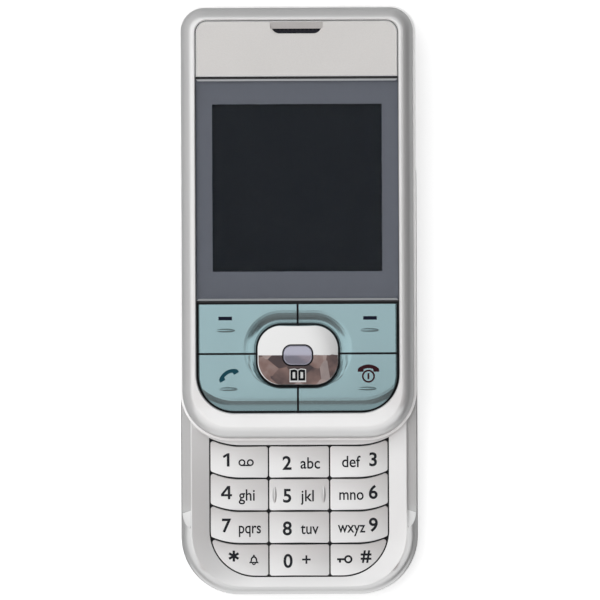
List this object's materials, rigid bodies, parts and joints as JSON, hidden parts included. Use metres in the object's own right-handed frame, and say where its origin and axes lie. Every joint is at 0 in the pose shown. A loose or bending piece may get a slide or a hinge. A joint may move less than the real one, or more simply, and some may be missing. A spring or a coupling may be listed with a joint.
{
  "type": "slide phone",
  "caption": "Slide-open mobile phone: a display half with a rocking navigation ring slides up on rails and uncovers the number keypad of the base.",
  "frame": {"origin": "under the middle of the open phone's bounding box, on the surface that its back lies on", "axes": "+X to the right of the screen, +Y along the slide towards the earpiece, +Z out of the screen"},
  "size_m": [0.0466, 0.1158, 0.0194],
  "materials": {
    "silver_base": "silver paint, satin",
    "silver_bezel": "silver paint, glossy",
    "silver_rim": "silver paint, glossy",
    "grey_plate": "warm grey, fine brushed",
    "dark_plastic": "matt",
    "black_plastic": "matt",
    "white_plastic": "matt",
    "dark_steel": "black zinc",
    "bright_steel": "stamped sheet",
    "gold_contact": "gold flash",
    "clear_lens": "clear, polished",
    "mask_print": "dark grey print",
    "dark_display": "switched off",
    "mirror_chrome": "mirror plated",
    "satin_select": "satin grey-lavender",
    "silver_keys": "silver paint under clear coat",
    "teal_keys": "pale metallic teal",
    "grey_rubber": "silicone rubber",
    "dome_steel": "domes on film",
    "circuit_board": "solder mask",
    "battery_wrap": "plain wrap",
    "amber_film": "polyimide film"
  },
  "bodies": {
    "base": {"base_front_housing": "silver_base", "base_rear_housing": "silver_base", "battery_pack": "battery_wrap", "battery_contacts": "gold_contact", "main_board": "circuit_board", "shield_cans": "bright_steel", "sim_holder": "bright_steel", "ringer_speaker": "black_plastic", "vibration_motor": "bright_steel", "microphone": "bright_steel", "antenna": "gold_contact", "charging_socket": "bright_steel", "base_screws": "dark_steel", "number_key_mat": "grey_rubber", "number_dome_sheet": "dome_steel", "slide_rail_plate": "bright_steel", "rail_screws": "dark_steel", "slide_spring": "bright_steel", "slide_flex": "amber_film"},
    "slider": {"slider_bezel": "silver_bezel", "slider_rear_cover": "silver_rim", "slider_screws": "dark_steel", "slide_magnet": "bright_steel", "slider_board": "circuit_board", "left_guide_rail": "dark_plastic", "right_guide_rail": "dark_plastic", "sled_plate": "bright_steel", "sled_shoes": "white_plastic", "sled_screws": "dark_steel", "earpiece_plate": "grey_plate", "earpiece_grille": "dark_steel", "earpiece_speaker": "black_plastic", "display_window": "clear_lens", "window_mask": "mask_print", "display_panel": "dark_display", "backlight_frame": "white_plastic", "function_key_mat": "grey_rubber", "function_dome_sheet": "dome_steel"},
    "key_1": {"key_1": "silver_keys"},
    "key_2": {"key_2": "silver_keys"},
    "key_3": {"key_3": "silver_keys"},
    "key_4": {"key_4": "silver_keys"},
    "key_5": {"key_5": "silver_keys"},
    "key_6": {"key_6": "silver_keys"},
    "key_7": {"key_7": "silver_keys"},
    "key_8": {"key_8": "silver_keys"},
    "key_9": {"key_9": "silver_keys"},
    "key_star": {"key_star": "silver_keys"},
    "key_0": {"key_0": "silver_keys"},
    "key_hash": {"key_hash": "silver_keys"},
    "left_soft_key": {"left_soft_key": "teal_keys"},
    "right_soft_key": {"right_soft_key": "teal_keys"},
    "call_key": {"call_key": "teal_keys"},
    "end_key": {"end_key": "teal_keys"},
    "select_key": {"select_key": "satin_select"},
    "nav_carrier": {"nav_carrier": "black_plastic"},
    "nav_ring": {"nav_ring": "mirror_chrome"},
    "battery_cover": {"battery_cover": "silver_base"},
    "vibration_weight": {"vibration_weight": "dark_steel"}
  },
  "joints": [
    {"name": "slider_slide", "type": "slide", "parent": "base", "child": "slider", "axis": [0, 1, 0], "range_m": [-0.028, 0], "deforming": ["slide_spring", "slide_flex"]},
    {"name": "key_1_press", "type": "slide", "parent": "base", "child": "key_1", "axis": [0, 0, -1], "range_m": [0, 0.00035], "stiffness_N_per_m": 1500},
    {"name": "key_2_press", "type": "slide", "parent": "base", "child": "key_2", "axis": [0, 0, -1], "range_m": [0, 0.00035], "stiffness_N_per_m": 1500},
    {"name": "key_3_press", "type": "slide", "parent": "base", "child": "key_3", "axis": [0, 0, -1], "range_m": [0, 0.00035], "stiffness_N_per_m": 1500},
    {"name": "key_4_press", "type": "slide", "parent": "base", "child": "key_4", "axis": [0, 0, -1], "range_m": [0, 0.00035], "stiffness_N_per_m": 1500},
    {"name": "key_5_press", "type": "slide", "parent": "base", "child": "key_5", "axis": [0, 0, -1], "range_m": [0, 0.00035], "stiffness_N_per_m": 1500},
    {"name": "key_6_press", "type": "slide", "parent": "base", "child": "key_6", "axis": [0, 0, -1], "range_m": [0, 0.00035], "stiffness_N_per_m": 1500},
    {"name": "key_7_press", "type": "slide", "parent": "base", "child": "key_7", "axis": [0, 0, -1], "range_m": [0, 0.00035], "stiffness_N_per_m": 1500},
    {"name": "key_8_press", "type": "slide", "parent": "base", "child": "key_8", "axis": [0, 0, -1], "range_m": [0, 0.00035], "stiffness_N_per_m": 1500},
    {"name": "key_9_press", "type": "slide", "parent": "base", "child": "key_9", "axis": [0, 0, -1], "range_m": [0, 0.00035], "stiffness_N_per_m": 1500},
    {"name": "key_star_press", "type": "slide", "parent": "base", "child": "key_star", "axis": [0, 0, -1], "range_m": [0, 0.00035], "stiffness_N_per_m": 1500},
    {"name": "key_0_press", "type": "slide", "parent": "base", "child": "key_0", "axis": [0, 0, -1], "range_m": [0, 0.00035], "stiffness_N_per_m": 1500},
    {"name": "key_hash_press", "type": "slide", "parent": "base", "child": "key_hash", "axis": [0, 0, -1], "range_m": [0, 0.00035], "stiffness_N_per_m": 1500},
    {"name": "left_soft_key_press", "type": "slide", "parent": "slider", "child": "left_soft_key", "axis": [0, 0, -1], "range_m": [0, 0.00035], "stiffness_N_per_m": 1500},
    {"name": "right_soft_key_press", "type": "slide", "parent": "slider", "child": "right_soft_key", "axis": [0, 0, -1], "range_m": [0, 0.00035], "stiffness_N_per_m": 1500},
    {"name": "call_key_press", "type": "slide", "parent": "slider", "child": "call_key", "axis": [0, 0, -1], "range_m": [0, 0.00035], "stiffness_N_per_m": 1500},
    {"name": "end_key_press", "type": "slide", "parent": "slider", "child": "end_key", "axis": [0, 0, -1], "range_m": [0, 0.00035], "stiffness_N_per_m": 1500},
    {"name": "select_key_press", "type": "slide", "parent": "slider", "child": "select_key", "axis": [0, 0, -1], "range_m": [0, 0.00035], "stiffness_N_per_m": 1500},
    {"name": "nav_up_down_tilt", "type": "hinge", "parent": "slider", "child": "nav_carrier", "pos_m": [0, -0.01083, 0.01718], "axis": [1, 0, 0], "range_deg": [-2, 2], "stiffness_Nm_per_rad": 0.05},
    {"name": "nav_side_tilt", "type": "hinge", "parent": "nav_carrier", "child": "nav_ring", "pos_m": [0, -0.01083, 0.01757], "axis": [0, 1, 0], "range_deg": [-2, 2], "stiffness_Nm_per_rad": 0.05},
    {"name": "battery_cover_slide", "type": "slide", "parent": "base", "child": "battery_cover", "axis": [0, 1, 0], "range_m": [0, 0.009]},
    {"name": "vibration_spin", "type": "hinge", "parent": "base", "child": "vibration_weight", "pos_m": [-0.01349, -0.0278, 0.0037], "axis": [0, 1, 0], "continuous": true}
  ]
}
